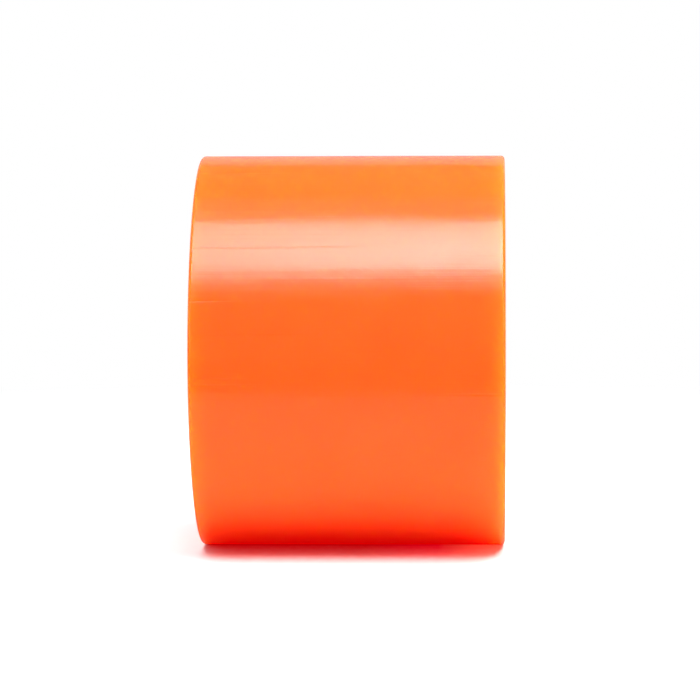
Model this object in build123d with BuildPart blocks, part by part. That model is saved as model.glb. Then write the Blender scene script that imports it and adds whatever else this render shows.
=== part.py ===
from build123d import *
import math
import os

# Roller unit of a rubber brayer: a cast polyurethane cover on an aluminium core tube, closed by two
# pressed-in end hubs, each holding a sealed ball bearing, and a stepped sleeve for the frame's axle.
# Millimetres. The roller turns about +Y, its centre is the origin, +Z is up. Left is -Y, right is +Y.

os.makedirs("parts", exist_ok=True)

# Cover and core
COVER_DIAMETER = 64.5
COVER_LENGTH = 50.0
COVER_EDGE_RADIUS = 0.3
CORE_DIAMETER = 40.0
CORE_WALL = 3.0
BOND_GROOVE_DEPTH = 0.8
BOND_GROOVE_WIDTH = 2.0
BOND_GROOVE_PITCH = 7.0
BOND_GROOVE_COUNT = 5

# End hubs
HUB_RECESS = 0.5
FLANGE_THICKNESS = 2.5
HUB_SPIGOT_LENGTH = 10.0
HUB_EDGE_CHAMFER = 0.4
HUB_SHOULDER_BORE = 19.0
DISH_INNER_RADIUS = 13.2
DISH_OUTER_RADIUS = 17.8
DISH_DEPTH = 1.0
DISH_FILLET = 0.6

# Bearing, type 608: 8 x 22 x 7 mm with seven 5/32 inch balls
BEARING_BORE = 8.0
BEARING_DIAMETER = 22.0
BEARING_WIDTH = 7.0
BEARING_CHAMFER = 0.3
BEARING_CENTRE = 18.5
BALL_DIAMETER = 3.969
BALL_COUNT = 7
FIRST_BALL_ANGLE = 90.0
PITCH_RADIUS = 7.5
RACE_RADIUS = 0.52 * BALL_DIAMETER
RACE_CLEARANCE = 0.02
OUTER_LAND_RADIUS = 8.9
INNER_LAND_RADIUS = 6.1

# Seals, two to a bearing: a rubber disc moulded on a steel washer
SEAL_POCKET_START = 2.55
SEAL_BEAD_END = 3.05
SEAL_BEAD_CLEARANCE = 0.03
SEAL_GROOVE_RADIUS = 9.65
SEAL_LIP_RADIUS = 9.3
SEAL_BEAD_RADIUS = 9.6
SEAL_FACE_RADIUS = 9.22
SEAL_INNER_RADIUS = 5.9
SEAL_FACE_END = 3.25
SEAL_INSERT_THICKNESS = 0.2
SEAL_INSERT_INNER_RADIUS = 6.4
SEAL_RIDGE_RADIUS = 7.6
SEAL_RIDGE_WIDTH = 0.5
SEAL_RIDGE_HEIGHT = 0.12
INNER_STEP_RADIUS = 5.75
INNER_STEP_START = 2.45

# Cages, moulded crown type
CAGE_INNER_RADIUS = 6.55
CAGE_OUTER_RADIUS = 8.45
CAGE_BACK = 2.45
CAGE_FRONT = 0.9
CAGE_POCKET_RADIUS = 2.1
CAGE_SLOT_WIDTH = 0.9
CAGE_SLOT_DEPTH = 1.6

# Retaining rings, internal, for a 22 mm bore
RING_THICKNESS = 1.0
RING_GROOVE_WIDTH = 1.1
RING_GROOVE_RADIUS = 11.5
RING_RADIUS = 11.47
RING_INNER_RADIUS = 9.6
RING_INNER_OFFSET = 0.35
RING_GAP_ANGLE = 34.0
RING_LUG_ANGLE = 7.0
RING_LUG_RADIUS = 1.75
RING_LUG_CENTRE = 9.35
RING_HOLE_RADIUS = 0.75

# Axle sleeve
SLEEVE_BORE = 6.0
SLEEVE_BODY_DIAMETER = 10.8
SLEEVE_WAIST_DIAMETER = 9.6
SLEEVE_WAIST_LENGTH = 16.0
SLEEVE_END_CHAMFER = 0.3

SIDES = {"left": -1, "right": 1}
TOLERANCE = 1e-4

half_length = COVER_LENGTH / 2
core_radius = CORE_DIAMETER / 2
core_bore_radius = core_radius - CORE_WALL
hub_face = half_length - HUB_RECESS
flange_back = hub_face - FLANGE_THICKNESS
spigot_end = flange_back - HUB_SPIGOT_LENGTH
seat_radius = BEARING_DIAMETER / 2
seat_shoulder = BEARING_CENTRE - BEARING_WIDTH / 2
bearing_face = BEARING_CENTRE + BEARING_WIDTH / 2
shoulder_bore_radius = HUB_SHOULDER_BORE / 2
ball_radius = BALL_DIAMETER / 2
ball_pitch_angle = 360 / BALL_COUNT
outer_race_centre = PITCH_RADIUS + ball_radius + RACE_CLEARANCE - RACE_RADIUS
inner_race_centre = PITCH_RADIUS - ball_radius - RACE_CLEARANCE + RACE_RADIUS


def save(part, name):
    """Labels a finished piece and writes it as parts/name.step."""
    part.label = name
    export_step(part, f"parts/{name}.step")


def band(inner, outer, start, end, mode=Mode.ADD):
    """A rectangle of a turned section: two radii, then two places along the axis."""
    with Locations(((inner + outer) / 2, (start + end) / 2)):
        Rectangle(outer - inner, abs(end - start), mode=mode)


def rings_of(part, radius, y):
    """The circular edges of a turned part that have this radius and lie at this place along the axis."""
    return part.edges().filter_by(GeomType.CIRCLE).filter_by(
        lambda edge: math.isclose(edge.radius, radius, abs_tol=TOLERANCE)
        and math.isclose(edge.center().Y, y, abs_tol=TOLERANCE)
    )


def ball_angles(side):
    """Degrees from +X towards +Z. The right set of balls stands half a pitch round from the left one."""
    first = FIRST_BALL_ANGLE if side < 0 else FIRST_BALL_ANGLE + ball_pitch_angle / 2
    return [first + number * ball_pitch_angle for number in range(BALL_COUNT)]


def on_pitch_circle(angle, y):
    """A place on the balls' pitch circle, turned so that its own X axis points outwards."""
    return Location((0, y, 0), (0, -angle, 0)) * Location((PITCH_RADIUS, 0, 0))


# Cover: a thick sleeve whose bore keys into the core tube's bonding grooves
with BuildPart() as rubber_cover:
    with BuildSketch(Plane.XY):
        band(core_radius, COVER_DIAMETER / 2, -half_length, half_length)
        with Locations((core_radius, 0)):
            with GridLocations(1, BOND_GROOVE_PITCH, 1, BOND_GROOVE_COUNT):
                Rectangle(2 * BOND_GROOVE_DEPTH, BOND_GROOVE_WIDTH)
    revolve(axis=Axis.Y)
    left_rim = rings_of(rubber_cover, COVER_DIAMETER / 2, -half_length)
    right_rim = rings_of(rubber_cover, COVER_DIAMETER / 2, half_length)
    fillet(left_rim + right_rim, COVER_EDGE_RADIUS)
save(rubber_cover.part, "rubber_cover")

# Core tube: it stops short of the hub flanges at both ends
with BuildPart() as core_tube:
    with BuildSketch(Plane.XY):
        band(core_bore_radius, core_radius, -flange_back, flange_back)
        with Locations((core_radius, 0)):
            with GridLocations(1, BOND_GROOVE_PITCH, 1, BOND_GROOVE_COUNT):
                Rectangle(2 * BOND_GROOVE_DEPTH, BOND_GROOVE_WIDTH, mode=Mode.SUBTRACT)
    revolve(axis=Axis.Y)
save(core_tube.part, "core_tube")

# Axle sleeve: its spigots are pressed into the inner rings, and its body keeps them apart
with BuildPart() as axle_sleeve:
    with BuildSketch(Plane.XY):
        band(SLEEVE_BORE / 2, BEARING_BORE / 2, -bearing_face, bearing_face)
        band(SLEEVE_BORE / 2, SLEEVE_BODY_DIAMETER / 2, -seat_shoulder, seat_shoulder)
        waist = (SLEEVE_WAIST_DIAMETER / 2, SLEEVE_BODY_DIAMETER / 2)
        band(*waist, -SLEEVE_WAIST_LENGTH / 2, SLEEVE_WAIST_LENGTH / 2, mode=Mode.SUBTRACT)
    revolve(axis=Axis.Y)
    left_mouth = rings_of(axle_sleeve, SLEEVE_BORE / 2, -bearing_face)
    right_mouth = rings_of(axle_sleeve, SLEEVE_BORE / 2, bearing_face)
    chamfer(left_mouth + right_mouth, SLEEVE_END_CHAMFER)
save(axle_sleeve.part, "axle_sleeve")


def end_hub(side):
    """Flanged hub pressed into the core tube, bored for the bearing and grooved for its retaining ring."""
    with BuildPart() as hub:
        with BuildSketch(Plane.XY):
            band(shoulder_bore_radius, core_bore_radius, side * spigot_end, side * hub_face)
            band(core_bore_radius, core_radius, side * flange_back, side * hub_face)
            band(0, seat_radius, side * seat_shoulder, side * hub_face, mode=Mode.SUBTRACT)
            groove_end = bearing_face + RING_GROOVE_WIDTH
            band(seat_radius, RING_GROOVE_RADIUS, side * bearing_face, side * groove_end, mode=Mode.SUBTRACT)
            floor = hub_face - DISH_DEPTH
            band(DISH_INNER_RADIUS, DISH_OUTER_RADIUS, side * floor, side * hub_face, mode=Mode.SUBTRACT)
        revolve(axis=Axis.Y)
        inner_corner = rings_of(hub, DISH_INNER_RADIUS, side * floor)
        outer_corner = rings_of(hub, DISH_OUTER_RADIUS, side * floor)
        fillet(inner_corner + outer_corner, DISH_FILLET)
        seat_mouth = rings_of(hub, seat_radius, side * hub_face)
        flange_rim = rings_of(hub, core_radius, side * hub_face)
        chamfer(seat_mouth + flange_rim, HUB_EDGE_CHAMFER)
    return hub.part


def retaining_ring(side):
    """Internal spring ring: thinnest beside its gap, with a drilled lug on each end."""
    start = bearing_face + (RING_GROOVE_WIDTH - RING_THICKNESS) / 2
    plane = Plane((0, side * start, 0), x_dir=(-side, 0, 0), z_dir=(0, side, 0))
    gap_edge = RING_GAP_ANGLE / 2
    with BuildPart() as ring:
        with BuildSketch(plane):
            Circle(RING_RADIUS)
            with Locations((0, RING_INNER_OFFSET)):
                Circle(RING_INNER_RADIUS, mode=Mode.SUBTRACT)
            reach = RING_RADIUS + RING_LUG_RADIUS
            half_width = reach * math.tan(math.radians(gap_edge))
            with BuildLine():
                Polyline((0, 0), (half_width, reach), (-half_width, reach), close=True)
            make_face(mode=Mode.SUBTRACT)
            for turn in (-gap_edge - RING_LUG_ANGLE, gap_edge + RING_LUG_ANGLE):
                with Locations(Vector(0, RING_LUG_CENTRE).rotate(Axis.Z, turn)):
                    Circle(RING_LUG_RADIUS)
                    Circle(RING_HOLE_RADIUS, mode=Mode.SUBTRACT)
        extrude(amount=RING_THICKNESS)
    return ring.part


def outer_ring(side):
    """Bearing outer ring with its raceway and a seal groove at each face."""
    y = side * BEARING_CENTRE
    half_width = BEARING_WIDTH / 2
    with BuildPart() as ring:
        with BuildSketch(Plane.XY):
            band(OUTER_LAND_RADIUS, seat_radius, y - half_width, y + half_width)
            with Locations((outer_race_centre, y)):
                Circle(RACE_RADIUS, mode=Mode.SUBTRACT)
            for face in (-1, 1):
                pocket = y + face * SEAL_POCKET_START
                band(OUTER_LAND_RADIUS, SEAL_LIP_RADIUS, pocket, y + face * half_width, mode=Mode.SUBTRACT)
                bead_end = y + face * SEAL_BEAD_END
                band(OUTER_LAND_RADIUS, SEAL_GROOVE_RADIUS, pocket, bead_end, mode=Mode.SUBTRACT)
        revolve(axis=Axis.Y)
        rims = [rings_of(ring, seat_radius, y + face * half_width) for face in (-1, 1)]
        fillet(rims[0] + rims[1], BEARING_CHAMFER)
    return ring.part


def inner_ring(side):
    """Bearing inner ring with its raceway and a step under each seal."""
    y = side * BEARING_CENTRE
    half_width = BEARING_WIDTH / 2
    with BuildPart() as ring:
        with BuildSketch(Plane.XY):
            band(BEARING_BORE / 2, INNER_LAND_RADIUS, y - half_width, y + half_width)
            with Locations((inner_race_centre, y)):
                Circle(RACE_RADIUS, mode=Mode.SUBTRACT)
            for face in (-1, 1):
                step = y + face * INNER_STEP_START
                band(INNER_STEP_RADIUS, INNER_LAND_RADIUS, step, y + face * half_width, mode=Mode.SUBTRACT)
        revolve(axis=Axis.Y)
        rims = [rings_of(ring, BEARING_BORE / 2, y + face * half_width) for face in (-1, 1)]
        fillet(rims[0] + rims[1], BEARING_CHAMFER)
    return ring.part


def cage(side):
    """Crown cage: a ring behind the balls with snap pockets open towards the roller's middle."""
    back = side * (BEARING_CENTRE + CAGE_BACK)
    front = side * (BEARING_CENTRE - CAGE_FRONT)
    slot_middle = front + side * CAGE_SLOT_DEPTH / 2
    slot_reach = 2 * (CAGE_OUTER_RADIUS - CAGE_INNER_RADIUS)
    with BuildPart() as crown:
        with BuildSketch(Plane.XY):
            band(CAGE_INNER_RADIUS, CAGE_OUTER_RADIUS, front, back)
        revolve(axis=Axis.Y)
        for angle in ball_angles(side):
            with Locations(on_pitch_circle(angle, side * BEARING_CENTRE)):
                Sphere(CAGE_POCKET_RADIUS, rotation=(90, 0, 0), mode=Mode.SUBTRACT)
            with Locations(on_pitch_circle(angle + ball_pitch_angle / 2, slot_middle)):
                Box(slot_reach, CAGE_SLOT_DEPTH, CAGE_SLOT_WIDTH, mode=Mode.SUBTRACT)
    return crown.part


def seal(side, face):
    """Rubber of one seal: a disc with a raised ridge, and a bead snapped into the outer ring's groove."""
    y = side * BEARING_CENTRE
    back = y + face * (SEAL_POCKET_START + SEAL_INSERT_THICKNESS)
    bead_end = y + face * (SEAL_BEAD_END - SEAL_BEAD_CLEARANCE)
    front = y + face * SEAL_FACE_END
    ridge = front + face * SEAL_RIDGE_HEIGHT
    with BuildPart() as disc:
        with BuildSketch(Plane.XY):
            band(SEAL_INNER_RADIUS, SEAL_FACE_RADIUS, back, front)
            band(SEAL_FACE_RADIUS, SEAL_BEAD_RADIUS, back, bead_end)
            half_ridge = SEAL_RIDGE_WIDTH / 2
            band(SEAL_RIDGE_RADIUS - half_ridge, SEAL_RIDGE_RADIUS + half_ridge, back, ridge)
        revolve(axis=Axis.Y)
    return disc.part


def seal_insert(side, face):
    """Steel washer on the inner face of one seal."""
    start = side * BEARING_CENTRE + face * SEAL_POCKET_START
    with BuildPart() as washer:
        with BuildSketch(Plane.XY):
            band(SEAL_INSERT_INNER_RADIUS, SEAL_LIP_RADIUS, start, start + face * SEAL_INSERT_THICKNESS)
        revolve(axis=Axis.Y)
    return washer.part


for side_name, side in SIDES.items():
    save(end_hub(side), f"end_hub_{side_name}")
    save(retaining_ring(side), f"retaining_ring_{side_name}")
    save(outer_ring(side), f"bearing_outer_ring_{side_name}")
    save(inner_ring(side), f"bearing_inner_ring_{side_name}")
    save(cage(side), f"bearing_cage_{side_name}")
    for seal_name, face in {"outside": side, "inside": -side}.items():
        save(seal(side, face), f"{seal_name}_seal_{side_name}")
        save(seal_insert(side, face), f"{seal_name}_seal_insert_{side_name}")
    for number, angle in enumerate(ball_angles(side), start=1):
        with BuildPart() as ball:
            with Locations(on_pitch_circle(angle, side * BEARING_CENTRE)):
                Sphere(ball_radius)
        save(ball.part, f"ball_{side_name}_{number}")
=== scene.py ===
import math

import bmesh
import bpy
from mathutils import Matrix, Vector, noise


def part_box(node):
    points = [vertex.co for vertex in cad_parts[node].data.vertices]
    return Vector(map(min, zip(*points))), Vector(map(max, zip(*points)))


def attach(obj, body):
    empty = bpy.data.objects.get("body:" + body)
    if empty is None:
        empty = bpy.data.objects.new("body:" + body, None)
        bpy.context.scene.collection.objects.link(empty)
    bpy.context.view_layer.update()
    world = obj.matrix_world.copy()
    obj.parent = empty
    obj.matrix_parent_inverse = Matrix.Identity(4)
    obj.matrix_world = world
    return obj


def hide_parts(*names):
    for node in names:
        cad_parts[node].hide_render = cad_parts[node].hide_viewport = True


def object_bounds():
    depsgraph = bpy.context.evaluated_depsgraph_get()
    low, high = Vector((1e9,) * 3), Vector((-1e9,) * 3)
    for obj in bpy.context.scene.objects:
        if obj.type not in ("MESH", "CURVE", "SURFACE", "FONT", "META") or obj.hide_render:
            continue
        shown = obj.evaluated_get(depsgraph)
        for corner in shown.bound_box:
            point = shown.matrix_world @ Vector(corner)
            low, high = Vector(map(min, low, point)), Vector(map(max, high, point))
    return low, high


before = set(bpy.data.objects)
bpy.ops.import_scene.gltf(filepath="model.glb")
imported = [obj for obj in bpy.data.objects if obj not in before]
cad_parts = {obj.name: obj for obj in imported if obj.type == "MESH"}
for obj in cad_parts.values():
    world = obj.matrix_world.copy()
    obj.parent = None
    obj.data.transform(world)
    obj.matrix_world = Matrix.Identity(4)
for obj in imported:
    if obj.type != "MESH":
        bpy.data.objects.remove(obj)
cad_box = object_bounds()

# A brayer's orange roller with turned aluminium end hubs and sealed ball bearings, on a white table.
# Metres, in the CAD frame: the roller turns about +Y, its centre is the origin and +Z is up.

# Sizes taken from the frame
COVER_RADIUS = cad_box[1].z
HALF_LENGTH = cad_box[1].y
CORE_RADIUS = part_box("core_tube")[1].x
HUB_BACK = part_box("end_hub_right")[0].y
HUB_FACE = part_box("end_hub_right")[1].y
BEARING_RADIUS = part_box("bearing_outer_ring_right")[1].x
BEARING_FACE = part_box("bearing_outer_ring_right")[1].y
BEARING_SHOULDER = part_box("bearing_outer_ring_right")[0].y
BEARING_CENTRE = (BEARING_FACE + BEARING_SHOULDER) / 2
FLOOR = -COVER_RADIUS

# Turned pieces
SEGMENTS = 320
ARC_STEPS = 5
SHARP_ANGLE = math.radians(35)

# Cover: its rounded edge, its surface, the ribs in its bore, how light behaves in it, and its painted red
# glow
COVER_EDGE = 0.0006
SURFACE_STEP = 0.0005
RIPPLE_DEPTH = 0.00002
RIB_RADIUS = 0.0192
RIB_WIDTH = 0.002
RIB_PITCH = 0.007
RIB_COUNT = 5
LIGHT_DEPTH = 0.01
PAINTED_RED_GLOW = 0.56

# End hubs
SPIGOT_RADIUS = 0.017
SHOULDER_BORE = 0.0095
DISH_INNER = 0.0132
DISH_OUTER = 0.0178
DISH_DEPTH = 0.001
DISH_FILLET = 0.0006
HUB_CHAMFER = 0.0004
GROOVE_RADIUS = 0.0115
GROOVE_WIDTH = 0.0011

# Retaining rings
RING_THICKNESS = 0.001
RING_START = BEARING_FACE + (GROOVE_WIDTH - RING_THICKNESS) / 2
RING_RADIUS = 0.01147
RING_INNER = 0.0096
RING_OFFSET = 0.00035
GAP_ANGLE = math.radians(17)
LUG_ANGLE = math.radians(24)
LUG_CENTRE = 0.00935
LUG_RADIUS = 0.00175
LUG_HOLE = 0.00075
RING_EDGE = 0.00008

# Bearings, with distances along the axis measured from the bearing's middle
INNER_RING_BORE = 0.004
INNER_LAND = 0.0061
INNER_STEP = 0.00575
INNER_STEP_START = 0.00245
OUTER_LAND = 0.0089
PITCH_RADIUS = 0.0075
RACE_RADIUS = 0.52 * 0.003969
SEAL_POCKET = 0.0093
SEAL_POCKET_START = 0.00255
SEAL_GROOVE = 0.00965
SEAL_GROOVE_END = 0.00305
BEARING_EDGE = 0.0003

# Seals
SEAL_BACK = 0.00275
SEAL_FACE = 0.00325
SEAL_BEAD = 0.0096
SEAL_BEAD_END = 0.00302
SEAL_RIM = 0.00922
SEAL_LIP = 0.0059
SEAL_RIDGE = 0.0076
SEAL_RIDGE_WIDTH = 0.0005
SEAL_RIDGE_HEIGHT = 0.00012

# Axle sleeve
SLEEVE_BORE = 0.003
SLEEVE_BODY = 0.0054
SLEEVE_WAIST = 0.0048
WAIST_HALF = 0.008
SLEEVE_CHAMFER = 0.0003

# Camera: a little above the roller's middle, and nearly opposite its right-hand end
CAMERA_DISTANCE = 0.557
CAMERA_ELEVATION = math.radians(4.5)
CAMERA_SIDE = 0.02112
CAMERA_AIM = Vector((0, -0.00065, 0.00003))
CAMERA_ROLL = math.radians(-0.19)
CAMERA_LENS = 172.43

# Lights: how far off and how wide they are, their directions round the roller in degrees, and the room's own
LIGHT_DISTANCE = 0.65
LIGHT_WIDTH = 0.7
PANEL_WIDTH = 0.5
RIGHT_END = 90
RIGHT_SIDE = 103
LEFT_SIDE = -105
FRONT_SIDE = 55
ROOM_LIGHT = 0.06

# The softbox: its brightness, its lowest and highest elevation, its uneven cloth with the lamp behind it,
# and its fading lower edge as (from, to, share of the brightness)
SOFTBOX = 10.6
SOFTBOX_LOW = 51
SOFTBOX_HIGH = 83.2
SOFTBOX_LEFT = 0.88
SOFTBOX_RIGHT = 1.12
LAMP_PLACE = 0.506
SOFTBOX_EDGE = [(47.5, 51, 0.5), (44.5, 47.5, 0.28), (41.5, 44.5, 0.22), (36, 41.5, 0.07)]

# The table: half its size, where it ends for the roller, painted as a dark edge in what the roller
# reflects and gets back, and where a white sweep takes over from it
TABLE_HALF = 3.0
TABLE_FRONT = 0.103
SWEEP_START = 0.12
SWEEP_END = 0.3

# The painted shade under the roller: a patch that throws no light back, with its middle along the roller,
# how much further it reaches along than across, and where it fades out. Past it the table throws back
# BOUNCE times the light that falls on it, a little more than real paper can: painted extra light
SHADE_MIDDLE = -0.003
END_SHADE = -0.001
SHADE_START = 0.02
SHADE_END = 0.032
BOUNCE = 1.1

# The glow painted on the table in place of the cover's own light: its strengths, and where it fades out
GLOW_AT_CONTACT = 0.03
GLOW_IN_FRONT = 0.3
GLOW_TO_RIGHT = 0.4
GLOW_AT_RIGHT = 0.07
GLOW_START = 0.032
GLOW_END = 0.055

# The backdrop: its distance, half its width, the angle up to its top, and its brightness
BACKDROP_AWAY = 0.7
BACKDROP_HALF = 0.9
BACKDROP_TOP = math.radians(35.5)
BACKDROP_GLOW = 0.5


# ---------------------------------------------------------------- mesh helpers


def rounded_loop(corners):
    """Points of a closed outline of (radius, y, rounding) corners, each rounding a run of arc steps."""
    points = []
    for index, (radius, y, rounding) in enumerate(corners):
        corner = Vector((radius, y))
        if not rounding:
            points.append(corner)
            continue
        before = (Vector(corners[index - 1][:2]) - corner).normalized()
        after = (Vector(corners[(index + 1) % len(corners)][:2]) - corner).normalized()
        half = before.angle(after) / 2
        centre = corner + (before + after).normalized() * rounding / math.sin(half)
        spoke = corner + before * rounding / math.tan(half) - centre
        turn = math.pi - 2 * half
        if before.cross(after) > 0:
            turn = -turn
        for step in range(ARC_STEPS + 1):
            points.append(centre + Matrix.Rotation(turn * step / ARC_STEPS, 2) @ spoke)
    return points


def divided(points, longest):
    """The same closed outline with no run longer than this."""
    found = []
    for index, point in enumerate(points):
        after = points[(index + 1) % len(points)]
        count = max(1, math.ceil((after - point).length / longest))
        found += [point.lerp(after, step / count) for step in range(count)]
    return found


def make_piece(name, vertices, faces):
    """A new object from a mesh, smooth but for its sharp edges."""
    mesh = bpy.data.meshes.new(name)
    mesh.from_pydata(vertices, [], faces)
    mesh.validate()
    mesh.shade_smooth()
    mesh.set_sharp_from_angle(angle=SHARP_ANGLE)
    piece = bpy.data.objects.new(name, mesh)
    bpy.context.scene.collection.objects.link(piece)
    return piece


def lathe(name, corners, side=1, longest=None, shift=None):
    """A closed solid turned about Y, from an outline that runs with the material on its left.
    The outline is the right-hand piece's, and side -1 gives the left-hand one.
    shift(angle, radius, y) gives how far a point is moved outwards."""
    loop = rounded_loop([(radius, side * y, rounding) for radius, y, rounding in corners][::side])
    if longest:
        loop = divided(loop, longest)
    vertices = []
    for step in range(SEGMENTS):
        angle = math.tau * step / SEGMENTS
        for radius, y in loop:
            reach = radius + (shift(angle, radius, y) if shift else 0)
            vertices.append((reach * math.cos(angle), y, reach * math.sin(angle)))
    count = len(loop)
    faces = []
    for step in range(SEGMENTS):
        here, there = step * count, (step + 1) % SEGMENTS * count
        for index in range(count):
            after = (index + 1) % count
            faces.append((here + index, here + after, there + after, there + index))
    piece = make_piece(name, vertices, faces)
    # Wide faces keep their own direction and the small roundings between them take up the turn
    weighted = piece.modifiers.new("weighted_normals", "WEIGHTED_NORMAL")
    weighted.keep_sharp = True
    return piece


def arc(centre, radius, start, end, steps):
    """Points round a centre, with angles measured clockwise from straight up."""
    points = []
    for step in range(steps + 1):
        angle = start + (end - start) * step / steps
        points.append(Vector((centre[0] + radius * math.sin(angle), centre[1] + radius * math.cos(angle))))
    return points


def plate(name, outlines, y, thickness, edge):
    """A flat plate across the axis with rounded edges: its outline first, then its holes, each of (x, z)."""
    curve = bpy.data.curves.new(name, "CURVE")
    curve.dimensions = "2D"
    curve.fill_mode = "BOTH"
    curve.extrude = thickness / 2 - edge
    curve.bevel_depth = edge
    curve.bevel_resolution = 3
    curve.offset = -edge
    for outline in outlines:
        spline = curve.splines.new("POLY")
        spline.points.add(len(outline) - 1)
        for point, (x, z) in zip(spline.points, outline):
            point.co = (x, z, 0, 1)
        spline.use_cyclic_u = True
    pattern = bpy.data.objects.new(name + "_outline", curve)
    mesh = bpy.data.meshes.new_from_object(pattern)
    bpy.data.objects.remove(pattern)
    form = bmesh.new()
    form.from_mesh(mesh)
    bmesh.ops.remove_doubles(form, verts=form.verts, dist=1e-7)
    bmesh.ops.recalc_face_normals(form, faces=form.faces)
    form.transform(Matrix.Translation((0, y, 0)) @ Matrix.Rotation(math.pi / 2, 4, "X"))
    form.to_mesh(mesh)
    form.free()
    mesh.name = name
    mesh.shade_smooth()
    mesh.set_sharp_from_angle(angle=SHARP_ANGLE)
    for polygon in mesh.polygons:
        if abs(polygon.normal.y) > 0.999:
            polygon.use_smooth = False
    piece = bpy.data.objects.new(name, mesh)
    bpy.context.scene.collection.objects.link(piece)
    return piece


def place(piece, node, body, slot):
    """The piece stands for a CAD node, moves with a body, and takes its finish from a slot."""
    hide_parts(node)
    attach(piece, body)
    piece.data.materials.append(finishes[slot])


# ---------------------------------------------------------------- material helpers


def new_material(name):
    """A material with its Principled node, and the tree to add nodes to."""
    material = bpy.data.materials.new(name)
    material.use_nodes = True
    tree = material.node_tree
    return material, tree, tree.nodes["Principled BSDF"]


def add(tree, kind, inputs=None, **settings):
    """A node with its settings, its inputs set to values or linked to sockets."""
    node = tree.nodes.new(kind)
    for key, value in settings.items():
        setattr(node, key, value)
    for key, value in (inputs or {}).items():
        if isinstance(value, bpy.types.NodeSocket):
            tree.links.new(value, node.inputs[key])
        else:
            node.inputs[key].default_value = value
    return node


def maths(tree, operation, first, second=0.0):
    """One calculation on sockets or numbers."""
    return add(tree, "ShaderNodeMath", {0: first, 1: second}, operation=operation).outputs[0]


def ramp(tree, value, low, high, to_low, to_high):
    """The value from low to high, turned into to_low to to_high."""
    inputs = {"Value": value, "From Min": low, "From Max": high, "To Min": to_low, "To Max": to_high}
    return add(tree, "ShaderNodeMapRange", inputs).outputs["Result"]


def blend(tree, factor, first, second):
    """A number between two, by a factor."""
    inputs = {"Factor": factor, "A": first, "B": second}
    return add(tree, "ShaderNodeMix", inputs).outputs["Result"]


def colours(tree, factor, first, second):
    """A colour between two, by a factor."""
    inputs = {"Factor": factor, "A": (*first, 1), "B": (*second, 1)}
    return add(tree, "ShaderNodeMix", inputs, data_type="RGBA").outputs["Result"]


def coordinates(tree):
    """Where a point is on its own piece, in metres."""
    return add(tree, "ShaderNodeTexCoord").outputs["Object"]


def stretched_noise(tree, where, scale, detail=2.0):
    """Noise with its own scale along X, Y and Z, in features to the metre."""
    spread = add(tree, "ShaderNodeVectorMath", {0: where, 1: scale}, operation="MULTIPLY").outputs[0]
    return add(tree, "ShaderNodeTexNoise", {"Vector": spread, "Scale": 1.0, "Detail": detail}).outputs[0]


def turning_marks(tree, where, scale, detail=3.0):
    """Noise that changes with the distance out on a face and along on a barrel, as a lathe leaves it."""
    apart = add(tree, "ShaderNodeSeparateXYZ", {0: where})
    across = add(tree, "ShaderNodeCombineXYZ", {0: apart.outputs["X"], 2: apart.outputs["Z"]})
    radius = add(tree, "ShaderNodeVectorMath", {0: across.outputs[0]}, operation="LENGTH").outputs["Value"]
    travelled = maths(tree, "ADD", radius, apart.outputs["Y"])
    inputs = {"W": travelled, "Scale": scale, "Detail": detail}
    return add(tree, "ShaderNodeTexNoise", inputs, noise_dimensions="1D").outputs[0]


def facing_along(tree):
    """How squarely a surface faces along the axis: 1 on an end face and 0 on a barrel."""
    facing = add(tree, "ShaderNodeNewGeometry").outputs["Normal"]
    along = add(tree, "ShaderNodeSeparateXYZ", {0: facing}).outputs["Y"]
    return maths(tree, "ABSOLUTE", along)


def broken_up(tree, where, edge):
    """The edge's wear, in patches."""
    patches = ramp(tree, stretched_noise(tree, where, (700, 700, 700), 4.0), 0.35, 0.65, 0.3, 1.0)
    return maths(tree, "MULTIPLY", edge, patches)


def worn_edge(tree, where):
    """1 on rubbed outer edges."""
    sharpness = add(tree, "ShaderNodeNewGeometry").outputs["Pointiness"]
    return broken_up(tree, where, ramp(tree, sharpness, 0.52, 0.6, 0.0, 1.0))


def worn_rim(tree, where):
    """1 on a flat plate's rounded edge, which faces neither along the axis nor across it."""
    along = facing_along(tree)
    inside = ramp(tree, along, 0.9, 0.99, 1.0, 0.0)
    outside = ramp(tree, along, 0.1, 0.4, 0.0, 1.0)
    return broken_up(tree, where, maths(tree, "MULTIPLY", inside, outside))


def bump(tree, height, distance, before=None):
    """A normal raised by the height times the distance, on top of the one before it."""
    inputs = {"Height": height, "Distance": distance, "Strength": 1.0}
    if before is not None:
        inputs["Normal"] = before
    return add(tree, "ShaderNodeBump", inputs).outputs["Normal"]


def wire(tree, shader, sockets):
    """Links each value to the shader's socket of that name."""
    for name, value in sockets.items():
        tree.links.new(value, shader.inputs[name])


# ---------------------------------------------------------------- materials


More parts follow.
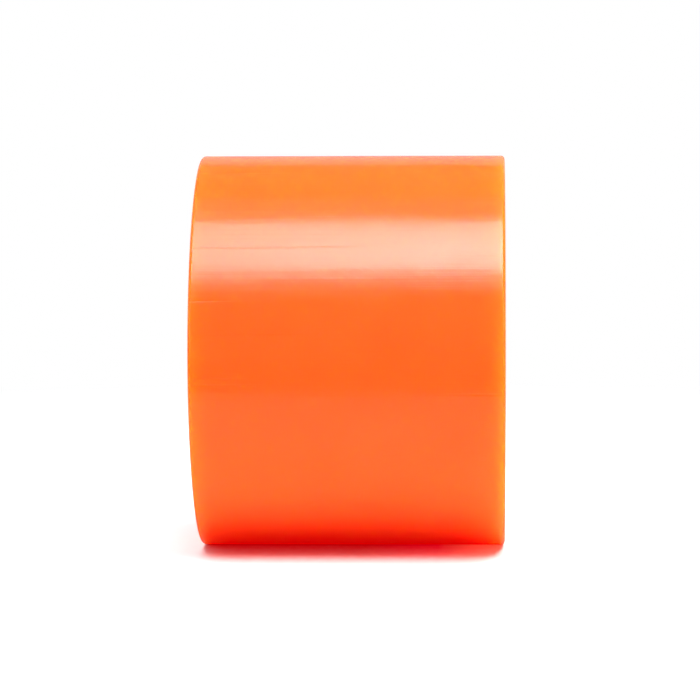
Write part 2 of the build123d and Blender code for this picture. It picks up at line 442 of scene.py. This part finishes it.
def orange_urethane():
    """Clear-toned cast urethane, lit through, with a painted red glow: a steady red emission standing
    in for light carried through it to its shaded underside. Its barrel has fine lines along the roller
    and soft smears, and its end faces have the rings of a cut."""
    material, tree, shader = new_material("orange_urethane")
    where = coordinates(tree)
    face = ramp(tree, facing_along(tree), 0.5, 0.8, 0.0, 1.0)
    clouds = stretched_noise(tree, where, (60, 90, 60), 3.0)
    smears = stretched_noise(tree, where, (260, 170, 260), 4.0)
    streaks = stretched_noise(tree, where, (3000, 22, 3000), 3.0)
    scores = stretched_noise(tree, where, (1300, 14, 1300), 1.0)
    rings = turning_marks(tree, where, 2200.0)
    grain = stretched_noise(tree, where, (5200, 5200, 5200), 3.0)
    tint = colours(tree, clouds, (1.0, 0.098, 0.012), (1.0, 0.112, 0.015))
    barrel_rough = ramp(tree, smears, 0.3, 0.7, 0.06, 0.16)
    face_rough = ramp(tree, rings, 0.3, 0.7, 0.22, 0.36)
    rough = blend(tree, face, barrel_rough, face_rough)
    deep_score = ramp(tree, scores, 0.66, 0.72, 0.0, 1.0)
    lines = maths(tree, "SUBTRACT", streaks, deep_score)
    shallow_rings = maths(tree, "MULTIPLY", rings, 0.5)
    relief = blend(tree, face, lines, shallow_rings)
    soft = bump(tree, smears, 0.00005)
    fine = bump(tree, relief, 0.000018, soft)
    normal = bump(tree, grain, 0.0000004, fine)
    wire(tree, shader, {"Base Color": tint, "Roughness": rough, "Normal": normal})
    shader.inputs["Subsurface Weight"].default_value = 1.0
    shader.inputs["Subsurface Radius"].default_value = (1.0, 1.6, 0.25)
    shader.inputs["Subsurface Scale"].default_value = LIGHT_DEPTH
    shader.inputs["IOR"].default_value = 1.45
    # Painted red glow: a steady emission standing in for light carried through the urethane to its shaded
    # side
    shader.inputs["Emission Color"].default_value = (1, 0, 0, 1)
    shader.inputs["Emission Strength"].default_value = PAINTED_RED_GLOW
    return material


def turned_metal(name, dark, light, low_rough, high_rough, marks=3000.0, depth=0.0000012):
    """Bare metal with the rings a lathe or grinding wheel leaves, stains and rubbed edges."""
    material, tree, shader = new_material(name)
    where = coordinates(tree)
    rings = turning_marks(tree, where, marks)
    stains = stretched_noise(tree, where, (140, 140, 140), 5.0)
    specks = stretched_noise(tree, where, (3800, 3800, 3800), 2.0)
    worn = worn_edge(tree, where)
    tone = maths(tree, "ADD", maths(tree, "MULTIPLY", stains, 0.6), maths(tree, "MULTIPLY", rings, 0.4))
    colour = colours(tree, maths(tree, "MAXIMUM", tone, worn), dark, light)
    rough = ramp(tree, maths(tree, "ADD", rings, stains), 0.6, 1.4, low_rough, high_rough)
    polished = maths(tree, "MULTIPLY", worn, 0.06)
    rough = maths(tree, "SUBTRACT", rough, polished)
    normal = bump(tree, specks, 0.0000005, bump(tree, rings, depth))
    round_axis = add(tree, "ShaderNodeTangent", direction_type="RADIAL", axis="Y").outputs[0]
    wire(tree, shader, {"Base Color": colour, "Roughness": rough, "Normal": normal, "Tangent": round_axis})
    shader.inputs["Metallic"].default_value = 1.0
    return material, shader


def aluminium():
    """Turned aluminium, satin, with its shine drawn out round the axis."""
    dark, light = (0.66, 0.665, 0.68), (0.83, 0.835, 0.845)
    material, shader = turned_metal("aluminium", dark, light, 0.2, 0.34)
    shader.inputs["Anisotropic"].default_value = 0.45
    return material


def bearing_steel():
    """Ground bearing steel, darker and smoother than the hubs."""
    dark, light = (0.5, 0.5, 0.51), (0.66, 0.66, 0.665)
    material, shader = turned_metal("bearing_steel", dark, light, 0.12, 0.26, 1900.0, 0.0000014)
    shader.inputs["Anisotropic"].default_value = 0.3
    return material


def plated_steel():
    """Bright zinc plate, slightly blue, with a fine crystal grain."""
    dark, light = (0.56, 0.59, 0.64), (0.74, 0.76, 0.79)
    return turned_metal("plated_steel", dark, light, 0.22, 0.36, 2400.0, 0.0000007)[0]


def ball_steel():
    """Lapped steel balls: almost a mirror, with the faintest haze."""
    material, tree, shader = new_material("ball_steel")
    where = coordinates(tree)
    haze = stretched_noise(tree, where, (500, 500, 500), 4.0)
    colour = colours(tree, haze, (0.58, 0.58, 0.59), (0.66, 0.66, 0.665))
    rough = ramp(tree, haze, 0.3, 0.7, 0.04, 0.08)
    scuffs = stretched_noise(tree, where, (4000, 900, 4000), 2.0)
    wire(tree, shader, {"Base Color": colour, "Roughness": rough, "Normal": bump(tree, scuffs, 0.0000002)})
    shader.inputs["Metallic"].default_value = 1.0
    return material


def spring_steel():
    """Stamped spring steel, phosphated black, rubbed through to bare metal at its edges."""
    material, tree, shader = new_material("spring_steel")
    where = coordinates(tree)
    crystals = stretched_noise(tree, where, (6500, 6500, 6500), 3.0)
    blotches = stretched_noise(tree, where, (420, 420, 420), 4.0)
    worn = worn_rim(tree, where)
    coat = colours(tree, blotches, (0.022, 0.021, 0.021), (0.05, 0.047, 0.045))
    mixed = {"Factor": worn, "A": coat, "B": (0.3, 0.3, 0.3, 1)}
    colour = add(tree, "ShaderNodeMix", mixed, data_type="RGBA").outputs["Result"]
    rough = ramp(tree, crystals, 0.3, 0.7, 0.42, 0.6)
    rough = maths(tree, "SUBTRACT", rough, maths(tree, "MULTIPLY", worn, 0.15))
    metal = ramp(tree, worn, 0.0, 1.0, 0.35, 1.0)
    normal = bump(tree, crystals, 0.000003)
    wire(tree, shader, {"Base Color": colour, "Roughness": rough, "Metallic": metal, "Normal": normal})
    return material


def seal_rubber():
    """Moulded nitrile: matt black with a bloom, a fine grain and faint rings from the mould."""
    material, tree, shader = new_material("seal_rubber")
    where = coordinates(tree)
    rings = turning_marks(tree, where, 1500.0)
    grain = stretched_noise(tree, where, (5200, 5200, 5200), 4.0)
    bloom = stretched_noise(tree, where, (260, 260, 260), 5.0)
    colour = colours(tree, bloom, (0.014, 0.014, 0.015), (0.034, 0.034, 0.035))
    rough = ramp(tree, maths(tree, "ADD", grain, bloom), 0.6, 1.4, 0.48, 0.72)
    normal = bump(tree, grain, 0.000004, bump(tree, rings, 0.000007))
    wire(tree, shader, {"Base Color": colour, "Roughness": rough, "Normal": normal})
    return material


def cage_nylon():
    """Moulded natural nylon: cream, waxy and a little see-through, with flow marks."""
    material, tree, shader = new_material("cage_nylon")
    where = coordinates(tree)
    flow = stretched_noise(tree, where, (320, 900, 320), 4.0)
    grain = stretched_noise(tree, where, (4200, 4200, 4200), 2.0)
    colour = colours(tree, flow, (0.68, 0.62, 0.47), (0.78, 0.73, 0.6))
    rough = ramp(tree, flow, 0.3, 0.7, 0.32, 0.48)
    normal = bump(tree, grain, 0.000002, bump(tree, flow, 0.000008))
    wire(tree, shader, {"Base Color": colour, "Roughness": rough, "Normal": normal})
    shader.inputs["Subsurface Weight"].default_value = 0.3
    shader.inputs["Subsurface Radius"].default_value = (1.0, 0.8, 0.6)
    shader.inputs["Subsurface Scale"].default_value = 0.001
    return material


# ---------------------------------------------------------------- pieces


def cover_ripple(angle, radius, y):
    """The ground surface's faint waves, longer along the roller than round it."""
    if radius < COVER_RADIUS - 1e-6:
        return 0
    x, z = math.cos(angle), math.sin(angle)
    broad = noise.noise(Vector((x * 3, y * 40, z * 3)))
    streak = noise.noise(Vector((x * 22, y * 60 + 9, z * 22)))
    return -RIPPLE_DEPTH * (0.5 + 0.3 * broad + 0.2 * streak)


def make_cover():
    """The orange cover, with ribs in its bore that key it to the core tube."""
    corners = [
        (CORE_RADIUS, -HALF_LENGTH, 0.0002),
        (COVER_RADIUS, -HALF_LENGTH, COVER_EDGE),
        (COVER_RADIUS, HALF_LENGTH, COVER_EDGE),
        (CORE_RADIUS, HALF_LENGTH, 0.0002),
    ]
    half = RIB_WIDTH / 2
    for index in range(RIB_COUNT):
        middle = RIB_PITCH * ((RIB_COUNT - 1) / 2 - index)
        corners += [(CORE_RADIUS, middle + half, 0), (RIB_RADIUS, middle + half, 0)]
        corners += [(RIB_RADIUS, middle - half, 0), (CORE_RADIUS, middle - half, 0)]
    cover = lathe("roller_cover", corners, 1, SURFACE_STEP, cover_ripple)
    place(cover, "rubber_cover", "roller", "orange_urethane")


def make_hub(hand, side):
    """A turned end hub: spigot, flange with a shallow dish, bearing seat and ring groove."""
    dish_floor = HUB_FACE - DISH_DEPTH
    corners = [
        (SHOULDER_BORE, HUB_BACK, 0.0002),
        (SPIGOT_RADIUS, HUB_BACK, 0.0003),
        (SPIGOT_RADIUS, BEARING_FACE, 0),
        (CORE_RADIUS, BEARING_FACE, 0.0001),
        (CORE_RADIUS, HUB_FACE - HUB_CHAMFER, 0.0001),
        (CORE_RADIUS - HUB_CHAMFER, HUB_FACE, 0.0001),
        (DISH_OUTER, HUB_FACE, 0.00012),
        (DISH_OUTER, dish_floor, DISH_FILLET),
        (DISH_INNER, dish_floor, DISH_FILLET),
        (DISH_INNER, HUB_FACE, 0.00012),
        (BEARING_RADIUS + HUB_CHAMFER, HUB_FACE, 0.0001),
        (BEARING_RADIUS, HUB_FACE - HUB_CHAMFER, 0.0001),
        (BEARING_RADIUS, BEARING_FACE + GROOVE_WIDTH, 0.00006),
        (GROOVE_RADIUS, BEARING_FACE + GROOVE_WIDTH, 0.00008),
        (GROOVE_RADIUS, BEARING_FACE, 0.00008),
        (BEARING_RADIUS, BEARING_FACE, 0.00006),
        (BEARING_RADIUS, BEARING_SHOULDER, 0),
        (SHOULDER_BORE, BEARING_SHOULDER, 0.0002),
    ]
    hub = lathe(f"turned_hub_{hand}", corners, side, 0.0008)
    place(hub, f"end_hub_{hand}", "roller", "aluminium")


def ring_half():
    """Half of a retaining ring's outline: round the rim, round the lug, and back along the inside."""
    lug = Vector((LUG_CENTRE * math.sin(LUG_ANGLE), LUG_CENTRE * math.cos(LUG_ANGLE)))
    inside = Vector((0, RING_OFFSET))
    rim = arc((0, 0), RING_RADIUS, math.pi, GAP_ANGLE, 96)

    # Where the gap's side meets the lug
    out = Vector((math.sin(GAP_ANGLE), math.cos(GAP_ANGLE)))
    beside = lug.dot(out)
    top = out * (beside + math.sqrt(LUG_RADIUS**2 - (lug - out * beside).length_squared)) - lug

    # Where the ring's inside meets the far side of the lug
    apart = lug - inside
    reach = (apart.length_squared + RING_INNER**2 - LUG_RADIUS**2) / (2 * apart.length)
    aside = math.sqrt(RING_INNER**2 - reach**2)
    forward = apart.normalized()
    meeting = inside + forward * reach + Vector((forward.y, -forward.x)) * aside
    spread = meeting - lug

    lug_start = math.atan2(top.x, top.y)
    lug_end = math.atan2(spread.x, spread.y) - math.tau
    inner_start = math.atan2(meeting.x - inside.x, meeting.y - inside.y)
    round_lug = arc(lug, LUG_RADIUS, lug_start, lug_end, 40)
    back = arc(inside, RING_INNER, inner_start, math.pi, 80)
    return rim + round_lug + back[1:], lug


def make_retaining_ring(hand, side):
    """An internal retaining ring: the half outline and its mirror, with a hole in each lug."""
    half, lug = ring_half()
    mirrored = [Vector((-point.x, point.y)) for point in reversed(half[1:-1])]
    hole = arc(lug, LUG_HOLE, 0, math.tau, 32)[:-1]
    other_hole = [Vector((-point.x, point.y)) for point in hole]
    middle = side * (RING_START + RING_THICKNESS / 2)
    outlines = [half + mirrored, hole, other_hole]
    ring = plate(f"circlip_{hand}", outlines, middle, RING_THICKNESS, RING_EDGE)
    place(ring, f"retaining_ring_{hand}", "roller", "spring_steel")


def race(centre_radius, land, facing):
    """A raceway's arc in an outline: facing 1 cuts outwards and runs down, -1 cuts inwards and runs up."""
    half = math.sqrt(RACE_RADIUS**2 - (land - centre_radius) ** 2)
    reach = math.asin(half / RACE_RADIUS)
    corners = []
    for step in range(17):
        angle = facing * reach * (1 - step / 8)
        radius = centre_radius + facing * RACE_RADIUS * math.cos(angle)
        corners.append((radius, BEARING_CENTRE + RACE_RADIUS * math.sin(angle), 0))
    return corners


def make_outer_ring(hand, side):
    """Outer ring: round edges, a seal groove at each face and the raceway in the middle."""
    low, high = BEARING_SHOULDER, BEARING_FACE
    middle = BEARING_CENTRE
    corners = [
        (SEAL_POCKET, low, 0.00006),
        (BEARING_RADIUS, low, BEARING_EDGE),
        (BEARING_RADIUS, high, BEARING_EDGE),
        (SEAL_POCKET, high, 0.00006),
        (SEAL_POCKET, middle + SEAL_GROOVE_END, 0),
        (SEAL_GROOVE, middle + SEAL_GROOVE_END, 0.00005),
        (SEAL_GROOVE, middle + SEAL_POCKET_START, 0.00005),
        (OUTER_LAND, middle + SEAL_POCKET_START, 0.00005),
    ]
    corners += race(PITCH_RADIUS, OUTER_LAND, 1)
    corners += [
        (OUTER_LAND, middle - SEAL_POCKET_START, 0.00005),
        (SEAL_GROOVE, middle - SEAL_POCKET_START, 0.00005),
        (SEAL_GROOVE, middle - SEAL_GROOVE_END, 0.00005),
        (SEAL_POCKET, middle - SEAL_GROOVE_END, 0),
    ]
    ring = lathe(f"outer_race_{hand}", corners, side, SURFACE_STEP)
    place(ring, f"bearing_outer_ring_{hand}", "roller", "bearing_steel")


def make_inner_ring(hand, side):
    """Inner ring: a step under each seal lip and the raceway in the middle."""
    low, high = BEARING_SHOULDER, BEARING_FACE
    middle = BEARING_CENTRE
    corners = [
        (INNER_RING_BORE, low, BEARING_EDGE),
        (INNER_STEP, low, 0.00006),
        (INNER_STEP, middle - INNER_STEP_START, 0),
        (INNER_LAND, middle - INNER_STEP_START, 0.00005),
    ]
    corners += race(PITCH_RADIUS, INNER_LAND, -1)
    corners += [
        (INNER_LAND, middle + INNER_STEP_START, 0.00005),
        (INNER_STEP, middle + INNER_STEP_START, 0),
        (INNER_STEP, high, 0.00006),
        (INNER_RING_BORE, high, BEARING_EDGE),
    ]
    ring = lathe(f"inner_race_{hand}", corners, side, SURFACE_STEP)
    place(ring, f"bearing_inner_ring_{hand}", "axle_sleeve", "bearing_steel")


def make_outside_seal(hand, side):
    """Moulded seal face with a raised ring, a rounded lip and the bead that snaps into the groove."""
    middle = BEARING_CENTRE
    face, top = middle + SEAL_FACE, middle + SEAL_FACE + SEAL_RIDGE_HEIGHT
    back = middle + SEAL_BACK
    half = SEAL_RIDGE_WIDTH / 2
    corners = [
        (SEAL_LIP, back, 0.0001),
        (SEAL_BEAD, back, 0.00008),
        (SEAL_BEAD, middle + SEAL_BEAD_END, 0.00008),
        (SEAL_RIM, middle + SEAL_BEAD_END, 0.00003),
        (SEAL_RIM, face, 0.00008),
        (SEAL_RIDGE + half, face, 0.00005),
        (SEAL_RIDGE + half, top, 0.00005),
        (SEAL_RIDGE - half, top, 0.00005),
        (SEAL_RIDGE - half, face, 0.00005),
        (SEAL_LIP, face, 0.00012),
    ]
    seal = lathe(f"seal_face_{hand}", corners, side, SURFACE_STEP)
    place(seal, f"outside_seal_{hand}", "roller", "seal_rubber")


def make_sleeve():
    """The axle sleeve: a spigot in each bearing, a thicker body, and a waist between two lands."""
    half = [
        (SLEEVE_WAIST, WAIST_HALF, 0.0002),
        (SLEEVE_BODY, WAIST_HALF, 0.0001),
        (SLEEVE_BODY, BEARING_SHOULDER, 0.0001),
        (INNER_RING_BORE, BEARING_SHOULDER, 0),
        (INNER_RING_BORE, BEARING_FACE, 0.00008),
        (SLEEVE_BORE + SLEEVE_CHAMFER, BEARING_FACE, 0.00006),
        (SLEEVE_BORE, BEARING_FACE - SLEEVE_CHAMFER, 0.00006),
    ]
    corners = half + [(radius, -y, rounding) for radius, y, rounding in reversed(half)]
    sleeve = lathe("sleeve", corners, 1, SURFACE_STEP)
    place(sleeve, "axle_sleeve", "axle_sleeve", "plated_steel")


def dress_hidden_parts():
    """The CAD's own solids that stay: tube, cages, balls, inside seals and the seals' steel inserts.
    Where two of the beginnings fit a name, the later one holds."""
    kinds = [
        ("core_tube", "aluminium", "aluminium"),
        ("bearing_cage", "cage_nylon", "cage_nylon"),
        ("ball", "bearing_steel", "ball_steel"),
        ("inside_seal", "seal_rubber", "seal_rubber"),
        ("inside_seal_insert", "plated_steel", "plated_steel"),
        ("outside_seal_insert", "plated_steel", "plated_steel"),
    ]
    for name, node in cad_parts.items():
        for start, slot, finish in kinds:
            if name.startswith(start):
                node.data.materials.clear()
                node.data.materials.append(finishes[finish])


# ---------------------------------------------------------------- stage


def aimed(position, target):
    """The matrix of a light or camera at this position that looks at the target."""
    position, target = Vector(position), Vector(target)
    turn = (target - position).to_track_quat("-Z", "Y")
    return Matrix.Translation(position) @ turn.to_matrix().to_4x4()


def area_light(name, position, size_x, size_y, radiance):
    """A white rectangle of this brightness that faces the roller. The camera doesn't see it."""
    lamp = bpy.data.lights.new(name, "AREA")
    lamp.shape = "RECTANGLE"
    lamp.size, lamp.size_y = size_x, size_y
    lamp.energy = radiance * math.pi * size_x * size_y
    light = bpy.data.objects.new(name, lamp)
    light.matrix_world = aimed(position, (0, 0, 0))
    light.visible_camera = False
    bpy.context.scene.collection.objects.link(light)
    return light


def polar(distance, azimuth, elevation):
    """A position round the roller: azimuth 0 is towards the camera, 90 towards the right-hand end."""
    azimuth, elevation = math.radians(azimuth), math.radians(elevation)
    level = distance * math.cos(elevation)
    return (level * math.cos(azimuth), level * math.sin(azimuth), distance * math.sin(elevation))


def glow_on_table(tree, beside, along, outside):
    """A painted glow in place of the light that the cover throws on the table round its contact: red, and
    orange at the right-hand end. It shows only where the white light is shut out."""
    near = ramp(tree, outside, GLOW_START, GLOW_END, 1.0, 0.0)
    parts = [
        ((1, 0, 0.02, 1), ramp(tree, beside, 0.002, 0.02, GLOW_AT_CONTACT, GLOW_IN_FRONT)),
        ((1, 0, 0.03, 1), ramp(tree, along, 0.002, 0.025, 0.0, GLOW_TO_RIGHT)),
        ((0, 1, 0.3, 1), ramp(tree, along, 0.014, 0.024, 0.0, GLOW_AT_RIGHT)),
    ]
    total = None
    for colour, strength in parts:
        strength = maths(tree, "MULTIPLY", strength, near)
        light = add(tree, "ShaderNodeEmission", {"Color": colour, "Strength": strength}).outputs["Emission"]
        if total is None:
            total = light
        else:
            total = add(tree, "ShaderNodeAddShader", {0: total, 1: light}).outputs["Shader"]
    return total


def table_material():
    """The white table. What the camera sees of it, and what it throws back on the roller, are set apart."""
    material, tree, shader = new_material("white_table")
    tree.nodes.remove(shader)
    where = coordinates(tree)
    apart = add(tree, "ShaderNodeSeparateXYZ", {0: where})
    across, along = apart.outputs["X"], apart.outputs["Y"]
    beside = maths(tree, "ABSOLUTE", across)
    from_middle = maths(tree, "ABSOLUTE", maths(tree, "SUBTRACT", along, SHADE_MIDDLE))
    outside = maths(tree, "MAXIMUM", beside, maths(tree, "SUBTRACT", from_middle, END_SHADE))

    # Seen: paper near the roller, with the painted glow that stands in for the cover's light, and a
    # shadowless white sweep further off
    away = add(tree, "ShaderNodeVectorMath", {0: where}, operation="LENGTH").outputs["Value"]
    limits = {"Value": away, "From Min": SWEEP_START, "From Max": SWEEP_END}
    far = add(tree, "ShaderNodeMapRange", limits, interpolation_type="SMOOTHSTEP").outputs["Result"]
    paper = add(tree, "ShaderNodeBsdfDiffuse", {"Color": (0.82, 0.82, 0.82, 1)}).outputs["BSDF"]
    glow = glow_on_table(tree, beside, along, outside)
    lit = add(tree, "ShaderNodeAddShader", {0: paper, 1: glow}).outputs["Shader"]
    sweep = add(tree, "ShaderNodeEmission", {"Strength": 1.0}).outputs["Emission"]
    seen = add(tree, "ShaderNodeMixShader", {0: far, 1: lit, 2: sweep}).outputs["Shader"]

    # Thrown back: nothing from under the roller (painted shade), little in reflections (a painted dim
    # table in the roller's reflections), and nothing from past the front edge (a painted dark edge)
    bounce_past_painted_shade = ramp(tree, outside, SHADE_START, SHADE_END, 0.0, BOUNCE)
    bounce = add(tree, "ShaderNodeBsdfDiffuse", {"Color": bounce_past_painted_shade}).outputs["BSDF"]
    dim = add(tree, "ShaderNodeBsdfDiffuse", {"Color": (0.2, 0.2, 0.2, 1)}).outputs["BSDF"]
    dark = add(tree, "ShaderNodeEmission", {"Strength": 0.0}).outputs["Emission"]
    light_path = add(tree, "ShaderNodeLightPath")
    past = maths(tree, "GREATER_THAN", across, TABLE_FRONT)
    sent = add(tree, "ShaderNodeMixShader", {0: light_path.outputs["Is Glossy Ray"], 1: bounce, 2: dim})
    unseen = add(tree, "ShaderNodeMixShader", {0: past, 1: sent.outputs["Shader"], 2: dark})
    both = {0: light_path.outputs["Is Camera Ray"], 1: unseen.outputs["Shader"], 2: seen}
    surface = add(tree, "ShaderNodeMixShader", both).outputs["Shader"]
    tree.links.new(surface, tree.nodes["Material Output"].inputs["Surface"])
    return material


def stage_plane(name, corners, material):
    """A flat part of the stage."""
    mesh = bpy.data.meshes.new(name)
    mesh.from_pydata(corners, [], [(0, 1, 2, 3)])
    mesh.materials.append(material)
    plane = bpy.data.objects.new(name, mesh)
    bpy.context.scene.collection.objects.link(plane)
    return plane


def make_floor():
    """The white table that the roller lies on."""
    half = TABLE_HALF
    corners = [(-half, -half, FLOOR), (half, -half, FLOOR), (half, half, FLOOR), (-half, half, FLOOR)]
    return stage_plane("floor", corners, table_material())


def make_backdrop():
    """A lit wall behind the roller, which the camera sees only in reflections."""
    away, half = BACKDROP_AWAY, BACKDROP_HALF
    height = away * math.tan(BACKDROP_TOP)
    corners = [(-away, -half, FLOOR), (-away, half, FLOOR), (-away, half, height), (-away, -half, height)]
    material, tree, shader = new_material("lit_backdrop")
    tree.nodes.remove(shader)
    glow = add(tree, "ShaderNodeEmission", {"Strength": BACKDROP_GLOW}).outputs["Emission"]
    tree.links.new(glow, tree.nodes["Material Output"].inputs["Surface"])
    backdrop = stage_plane("backdrop", corners, material)
    backdrop.visible_camera = False


def make_world():
    """A dim white room, which the camera sees as plain white."""
    world = bpy.data.worlds.new("studio")
    bpy.context.scene.world = world
    world.use_nodes = True
    tree = world.node_tree
    room = tree.nodes["Background"]
    room.inputs["Color"].default_value = (1, 1, 1, 1)
    room.inputs["Strength"].default_value = ROOM_LIGHT
    white = add(tree, "ShaderNodeBackground", {"Color": (1, 1, 1, 1), "Strength": 1.0})
    camera = add(tree, "ShaderNodeLightPath").outputs["Is Camera Ray"]
    both = add(tree, "ShaderNodeMixShader", {0: camera, 1: room.outputs[0], 2: white.outputs[0]})
    tree.links.new(both.outputs[0], tree.nodes["World Output"].inputs["Surface"])


def light_strip(name, low, high, radiance, azimuth=0, width=LIGHT_WIDTH):
    """A light across the roller from one elevation to another, in degrees."""
    middle, half = (low + high) / 2, (high - low) / 2
    height = 2 * LIGHT_DISTANCE * math.tan(math.radians(half))
    return area_light(name, polar(LIGHT_DISTANCE, azimuth, middle), width, height, radiance)


def make_cloth_uneven(light):
    """The softbox's cloth is brighter to the right and in front of its lamp, dimmer to the left, at its top
    and at its bottom, and cloudy all over."""
    lamp = light.data
    lamp.use_nodes = True
    tree = lamp.node_tree
    cloth = add(tree, "ShaderNodeNewGeometry").outputs["Parametric"]
    apart = add(tree, "ShaderNodeSeparateXYZ", {0: cloth})
    along, up = apart.outputs["X"], apart.outputs["Y"]
    off_lamp = maths(tree, "ABSOLUTE", maths(tree, "SUBTRACT", along, LAMP_PLACE))
    patches = stretched_noise(tree, cloth, (80, 5, 1), 3.0)
    total = ramp(tree, along, 0.4, 0.6, SOFTBOX_LEFT, SOFTBOX_RIGHT)
    shares = [
        ramp(tree, up, 0.35, 1.0, 1.08, 0.7),
        ramp(tree, up, 0.0, 0.35, 0.88, 1.0),
        ramp(tree, along, 0.385, 0.42, 0.84, 1.0),
        ramp(tree, off_lamp, 0.003, 0.018, 1.13, 1.0),
        ramp(tree, patches, 0.3, 0.7, 0.76, 1.24),
    ]
    for share in shares:
        total = maths(tree, "MULTIPLY", total, share)
    tree.links.new(total, tree.nodes["Emission"].inputs["Strength"])


def keep_off(light, piece):
    """The light doesn't fall on this piece."""
    unlit = bpy.data.collections.new(f"unlit_by_{light.name}")
    unlit.objects.link(piece)
    for member in unlit.collection_objects:
        member.light_linking.link_state = "EXCLUDE"
    light.light_linking.receiver_collection = unlit


def make_lights(floor):
    """Strips in front of and above the roller, and panels low round it. Three leave no reflection, and two
    don't fall on the table."""
    make_cloth_uneven(light_strip("softbox", SOFTBOX_LOW, SOFTBOX_HIGH, SOFTBOX))
    for index, (low, high, share) in enumerate(SOFTBOX_EDGE):
        light_strip(f"softbox_edge_{index}", low, high, SOFTBOX * share)

    # Overhead, from the softbox's top to behind the roller
    light_strip("spill", SOFTBOX_HIGH, 90, 1.3)
    light_strip("overhead", 90, 102, 0.55)
    light_strip("top_glow", 92, 112, 5).visible_glossy = False

    # At the right-hand end
    light_strip("high_right", 60, 82, 4, RIGHT_END, PANEL_WIDTH).visible_glossy = False
    right_glow = light_strip("right_glow", 5, 45, 4.3, RIGHT_SIDE, PANEL_WIDTH)
    right_glow.visible_glossy = False
    keep_off(right_glow, floor)
    keep_off(light_strip("right_panel", 5, 45, 1.3, RIGHT_SIDE, PANEL_WIDTH), floor)

    # At the left-hand end, and low in front
    light_strip("left_panel", 5, 45, 0.6, LEFT_SIDE, PANEL_WIDTH)
    light_strip("front_panel_right", 5, 30, 0.7, FRONT_SIDE, PANEL_WIDTH)
    light_strip("front_panel_left", 5, 30, 0.7, -FRONT_SIDE, PANEL_WIDTH)


def make_camera():
    """The camera, aimed near the roller's middle and very slightly rolled."""
    data = bpy.data.cameras.new("camera")
    data.lens = CAMERA_LENS
    data.sensor_width = 36
    data.clip_start, data.clip_end = 0.01, 20
    camera = bpy.data.objects.new("camera", data)
    level = CAMERA_DISTANCE * math.cos(CAMERA_ELEVATION)
    height = CAMERA_DISTANCE * math.sin(CAMERA_ELEVATION)
    view = aimed((level, CAMERA_SIDE, height), CAMERA_AIM)
    camera.matrix_world = view @ Matrix.Rotation(CAMERA_ROLL, 4, "Z")
    bpy.context.scene.collection.objects.link(camera)
    bpy.context.scene.camera = camera


# ---------------------------------------------------------------- the scene


makers = [
    orange_urethane, aluminium, bearing_steel, plated_steel, ball_steel,
    spring_steel, seal_rubber, cage_nylon,
]
finishes = {maker.__name__: maker() for maker in makers}

make_cover()
make_sleeve()
for hand, side in (("left", -1), ("right", 1)):
    make_hub(hand, side)
    make_retaining_ring(hand, side)
    make_outer_ring(hand, side)
    make_inner_ring(hand, side)
    make_outside_seal(hand, side)
dress_hidden_parts()

floor = make_floor()
make_backdrop()
make_world()
make_lights(floor)
make_camera()
bpy.context.scene.view_settings.view_transform = "Standard"
